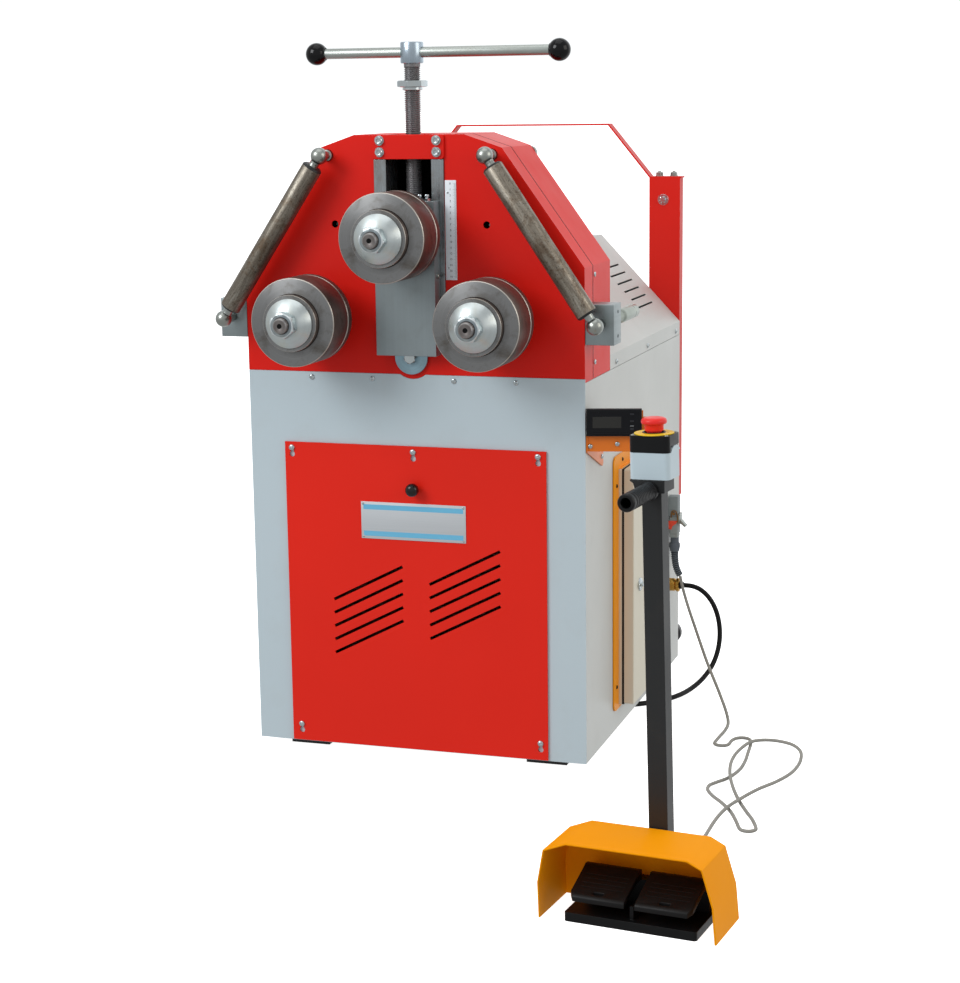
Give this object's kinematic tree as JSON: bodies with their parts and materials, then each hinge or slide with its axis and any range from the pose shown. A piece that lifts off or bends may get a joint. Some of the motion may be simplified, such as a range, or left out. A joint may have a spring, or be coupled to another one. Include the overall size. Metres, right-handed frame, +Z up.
{
  "type": "section bending machine",
  "caption": "Upright section bending machine: sheet steel cabinet, octagonal shield, bending rolls, hand feed screw with ball-ended bar, and a foot control on a post with an emergency stop.",
  "frame": {"origin": "on the floor, below the middle of the footprint of the machine and its foot control, without the cords", "axes": "+Z up, +Y from the front of the machine to its back, +X to the right of a person facing the front"},
  "size_m": [1.0654, 1.644, 1.2846],
  "materials": {
    "red_paint": "semi-gloss powder coat",
    "grey_paint": "semi-gloss powder coat",
    "orange_paint": "semi-gloss powder coat",
    "beige_paint": "satin powder coat",
    "black_paint": "satin",
    "machined_steel": "ground",
    "roll_steel": "turned and hardened",
    "raw_tube": "raw, oiled, a little rusted",
    "zinc": "blue zinc plated",
    "plate_steel": "mill scale, oiled",
    "brass": "turned",
    "drive_casting": "painted casting",
    "black_plastic": "fine texture",
    "gloss_black": "polished",
    "grey_plastic": "fine texture",
    "connector_grey": "cast and painted",
    "stop_red": "satin",
    "black_rubber": "matt",
    "grey_rubber": "matt"
  },
  "bodies": {
    "machine": {"cabinet_body": "grey_paint", "cabinet_front": "grey_paint", "cabinet_base": "black_paint", "shield_front": "red_paint", "shield_rear": "red_paint", "rear_hood": "grey_paint", "main_frame": "plate_steel", "slide_rail_left": "machined_steel", "slide_rail_right": "machined_steel", "top_bar": "red_paint", "feed_nut": "brass", "gear_motor": "drive_casting", "guide_block_left": "zinc", "guide_block_right": "zinc", "rear_hoop": "red_paint", "display_bracket": "orange_paint", "display_unit": "black_plastic", "enclosure_body": "orange_paint", "connector_socket": "connector_grey", "connector_plug": "connector_grey", "cable_gland": "brass", "pedal_base": "black_plastic", "pedal_guard": "orange_paint", "stand_post": "black_paint", "stand_grip": "black_rubber", "control_box_lower": "grey_plastic", "control_box_upper": "gloss_black", "control_cable": "grey_rubber", "power_cable": "black_rubber", "power_coil": "black_rubber", "power_plug": "black_plastic"},
    "slide": {"slide_block": "machined_steel"},
    "screw": {"feed_screw": "machined_steel"},
    "bar": {"tommy_bar": "machined_steel", "tommy_ball_left": "gloss_black", "tommy_ball_right": "gloss_black"},
    "roll_upper": {"upper_shaft": "machined_steel", "upper_roll": "roll_steel", "upper_roll_rear": "roll_steel", "upper_nut": "zinc"},
    "roll_left": {"left_shaft": "machined_steel", "left_roll": "roll_steel", "left_roll_rear": "roll_steel", "left_nut": "zinc"},
    "roll_right": {"right_shaft": "machined_steel", "right_roll": "roll_steel", "right_roll_rear": "roll_steel", "right_nut": "zinc"},
    "drive": {"drive_shaft": "zinc"},
    "rod_left": {"tie_rod_left": "raw_tube"},
    "rod_right": {"tie_rod_right": "raw_tube"},
    "panel": {"access_panel": "red_paint", "panel_knob": "gloss_black"},
    "door": {"enclosure_door": "beige_paint"},
    "lock": {"door_lock": "zinc"},
    "latch": {"connector_latch": "zinc"},
    "switch": {"main_switch": "black_plastic"},
    "left_pedal": {"pedal_left": "black_plastic"},
    "right_pedal": {"pedal_right": "black_plastic"},
    "stop": {"stop_button": "stop_red"}
  },
  "joints": [
    {"name": "screw_turn", "type": "hinge", "parent": "slide", "child": "screw", "pos_m": [-0.16727, -0.02503, 1.018], "axis": [0, 0, 1], "range_deg": [-7200, 4620]},
    {"name": "slide_travel", "type": "slide", "parent": "machine", "child": "slide", "axis": [0, 0, 1], "range_m": [-0.0701, 0.0451]},
    {"name": "bar_shift", "type": "slide", "parent": "screw", "child": "bar", "axis": [1, 0, 0], "range_m": [-0.22, 0.13]},
    {"name": "upper_roll_spin", "type": "hinge", "parent": "slide", "child": "roll_upper", "pos_m": [-0.16727, -0.15103, 0.957], "axis": [0, 1, 0], "continuous": true},
    {"name": "left_roll_spin", "type": "hinge", "parent": "machine", "child": "roll_left", "pos_m": [-0.33227, -0.15103, 0.812], "axis": [0, 1, 0], "continuous": true},
    {"name": "right_roll_spin", "type": "hinge", "parent": "machine", "child": "roll_right", "pos_m": [-0.00227, -0.15103, 0.812], "axis": [0, 1, 0], "continuous": true},
    {"name": "drive_spin", "type": "hinge", "parent": "machine", "child": "drive", "pos_m": [-0.16727, -0.05103, 0.7396], "axis": [0, 1, 0], "continuous": true},
    {"name": "rod_left_turn", "type": "hinge", "parent": "machine", "child": "rod_left", "pos_m": [-0.31797, -0.09103, 1.091], "axis": [-0.5559, 0, -0.8312], "continuous": true},
    {"name": "rod_right_turn", "type": "hinge", "parent": "machine", "child": "rod_right", "pos_m": [-0.01657, -0.09103, 1.091], "axis": [0.5559, 0, -0.8312], "continuous": true},
    {"name": "panel_lift", "type": "slide", "parent": "machine", "child": "panel", "axis": [0, 0, 1], "range_m": [0, 0.012]},
    {"name": "door_open", "type": "hinge", "parent": "machine", "child": "door", "pos_m": [0.15873, 0.45537, 0.289], "axis": [0, 0, 1], "range_deg": [0, 55]},
    {"name": "lock_turn", "type": "hinge", "parent": "door", "child": "lock", "pos_m": [0.18273, 0.22297, 0.2866], "axis": [1, 0, 0], "range_deg": [0, 90]},
    {"name": "latch_lift", "type": "hinge", "parent": "machine", "child": "latch", "pos_m": [0.15833, 0.61697, 0.3456], "axis": [0, 1, 0], "range_deg": [-25, 0]},
    {"name": "switch_turn", "type": "hinge", "parent": "machine", "child": "switch", "pos_m": [0.12573, 0.70897, 0.064], "axis": [0, 1, 0], "range_deg": [0, 90]},
    {"name": "pedal_left_press", "type": "hinge", "parent": "machine", "child": "left_pedal", "pos_m": [0.34737, -0.6327, 0.058], "axis": [0.9936, -0.1132, 0], "range_deg": [0, 8], "stiffness_Nm_per_rad": 6, "springref_deg": -8.59},
    {"name": "pedal_right_press", "type": "hinge", "parent": "machine", "child": "right_pedal", "pos_m": [0.44871, -0.64424, 0.058], "axis": [0.9936, -0.1132, 0], "range_deg": [0, 8], "stiffness_Nm_per_rad": 6, "springref_deg": -8.59},
    {"name": "stop_press", "type": "slide", "parent": "machine", "child": "stop", "axis": [-0.0234, 0.0027, 0.9997], "range_m": [-0.004, 0], "stiffness_N_per_m": 2500, "springref_m": 0.002}
  ],
  "couplings": [
    {"joint": "slide_travel", "follows": "screw_turn", "m_per_rad": 0.00055704},
    {"joint": "right_roll_spin", "follows": "left_roll_spin", "ratio": 1},
    {"joint": "drive_spin", "follows": "left_roll_spin", "ratio": -2}
  ]
}
